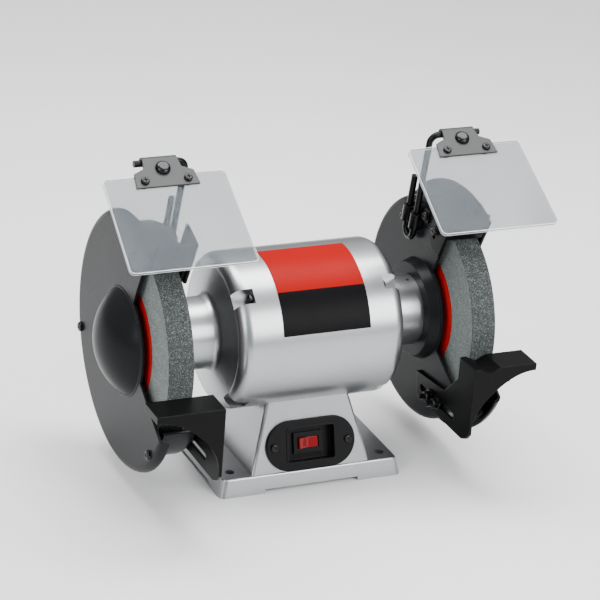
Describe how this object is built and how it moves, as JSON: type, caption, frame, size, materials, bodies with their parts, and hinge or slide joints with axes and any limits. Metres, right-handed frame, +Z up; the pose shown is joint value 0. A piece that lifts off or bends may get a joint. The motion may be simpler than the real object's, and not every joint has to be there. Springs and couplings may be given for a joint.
{
  "type": "bench grinder",
  "caption": "Bench grinder with two abrasive wheels in guards, tilting eye shields, adjustable tool rests and spark arresters, rocker switch and cast base",
  "frame": {"origin": "centre of the bench bolt pattern, on the bench surface under the feet", "axes": "+X along the spindle to the right wheel, -Y towards the user, +Z up"},
  "size_m": [0.4358, 0.274, 0.335],
  "materials": {
    "silver_paint": "semi-gloss silver enamel, light orange peel",
    "charcoal_paint": "satin charcoal enamel on pressed steel",
    "black_steel": "satin black enamel",
    "dark_screws": "black oxide, lightly oiled",
    "black_plastic": "fine-textured moulding",
    "red_plastic": "glossy moulded plastic",
    "label_film": "printed film, blank red field over a dark band",
    "lamination_steel": "stacked laminations, varnished",
    "copper_winding": "enamelled copper wire, varnished",
    "bearing_steel": "ground and polished",
    "turned_steel": "fine turned finish",
    "red_paper": "blotting paper, matte",
    "grey_abrasive": "bonded aluminium oxide grit, matte and rough",
    "plated_rod": "dark phosphate over steel rod",
    "clear_plastic": "clear polycarbonate sheet, polished",
    "grey_bracket": "dark grey powder coat"
  },
  "bodies": {
    "body": {"base_casting": "silver_paint", "base_bottom_cover": "black_steel", "base_bottom_cover_screws": "dark_screws", "motor_mount_bolts": "dark_screws", "run_capacitor": "black_plastic", "switch_plate": "black_plastic", "switch_body": "black_plastic", "switch_plate_screws": "dark_screws", "power_cord_gland": "black_plastic", "motor_housing": "silver_paint", "motor_label_plate": "label_film", "stator_core": "lamination_steel", "stator_windings": "copper_winding", "motor_through_bolts": "dark_screws", "bearing_outer_rings": "bearing_steel", "bearing_balls": "bearing_steel", "bearing_wave_washer": "bearing_steel", "guard_mounting_screws": "dark_screws", "cover_screws": "dark_screws", "tool_rest_bolts": "dark_screws", "spark_arrester_screws": "dark_screws", "rod_clamp_screws": "dark_screws", "left_end_bell": "silver_paint", "left_wheel_guard": "charcoal_paint", "left_guard_cover": "charcoal_paint", "left_rod_clamp": "plated_rod", "right_end_bell": "silver_paint", "right_wheel_guard": "charcoal_paint", "right_guard_cover": "charcoal_paint", "right_rod_clamp": "plated_rod"},
    "rotor": {"spindle": "turned_steel", "rotor_core": "lamination_steel", "bearing_inner_rings": "bearing_steel", "wheel_inner_flanges": "turned_steel", "wheel_outer_flanges": "turned_steel", "wheel_blotters": "red_paper", "left_grinding_wheel": "grey_abrasive", "right_grinding_wheel": "grey_abrasive", "left_spindle_nut": "turned_steel", "right_spindle_nut": "turned_steel"},
    "switch_rocker": {"switch_rocker_button": "red_plastic"},
    "left_rod": {"left_shield_rod": "plated_rod"},
    "left_shield": {"left_shield_window": "clear_plastic", "left_shield_bracket": "grey_bracket", "left_shield_backing_plate": "grey_bracket", "left_shield_fasteners": "dark_screws"},
    "left_rest": {"left_tool_rest": "black_steel"},
    "left_arrester": {"left_spark_arrester": "black_steel"},
    "right_rod": {"right_shield_rod": "plated_rod"},
    "right_shield": {"right_shield_window": "clear_plastic", "right_shield_bracket": "grey_bracket", "right_shield_backing_plate": "grey_bracket", "right_shield_fasteners": "dark_screws"},
    "right_rest": {"right_tool_rest": "black_steel"},
    "right_arrester": {"right_spark_arrester": "black_steel"}
  },
  "joints": [
    {"name": "spindle_spin", "type": "hinge", "parent": "body", "child": "rotor", "pos_m": [0, 0, 0.1455], "axis": [1, 0, 0], "continuous": true},
    {"name": "switch_rocker_tilt", "type": "hinge", "parent": "body", "child": "switch_rocker", "pos_m": [0, -0.05443, 0.04086], "axis": [0, 0.2807, 0.9598], "range_deg": [-16, 0]},
    {"name": "left_rod_height", "type": "slide", "parent": "body", "child": "left_rod", "axis": [0, -0.2588, 0.9659], "range_m": [-0.006, 0.004]},
    {"name": "left_shield_tilt", "type": "hinge", "parent": "left_rod", "child": "left_shield", "pos_m": [-0.156, -0.013, 0.3295], "axis": [1, 0, 0], "range_deg": [-60, 7]},
    {"name": "left_rest_gap", "type": "slide", "parent": "body", "child": "left_rest", "axis": [0, 1, 0], "range_m": [-0.005, 0.0148]},
    {"name": "left_arrester_gap", "type": "slide", "parent": "body", "child": "left_arrester", "axis": [0, -0.4384, 0.8988], "range_m": [-0.002, 0.008]},
    {"name": "right_rod_height", "type": "slide", "parent": "body", "child": "right_rod", "axis": [0, -0.1564, 0.9877], "range_m": [-0.006, 0.004]},
    {"name": "right_shield_tilt", "type": "hinge", "parent": "right_rod", "child": "right_shield", "pos_m": [0.156, -0.004, 0.3295], "axis": [1, 0, 0], "range_deg": [-57, 9]},
    {"name": "right_rest_gap", "type": "slide", "parent": "body", "child": "right_rest", "axis": [0, 1, 0], "range_m": [-0.0115, 0.002]},
    {"name": "right_arrester_gap", "type": "slide", "parent": "body", "child": "right_arrester", "axis": [0, -0.4384, 0.8988], "range_m": [-0.002, 0.008]}
  ]
}
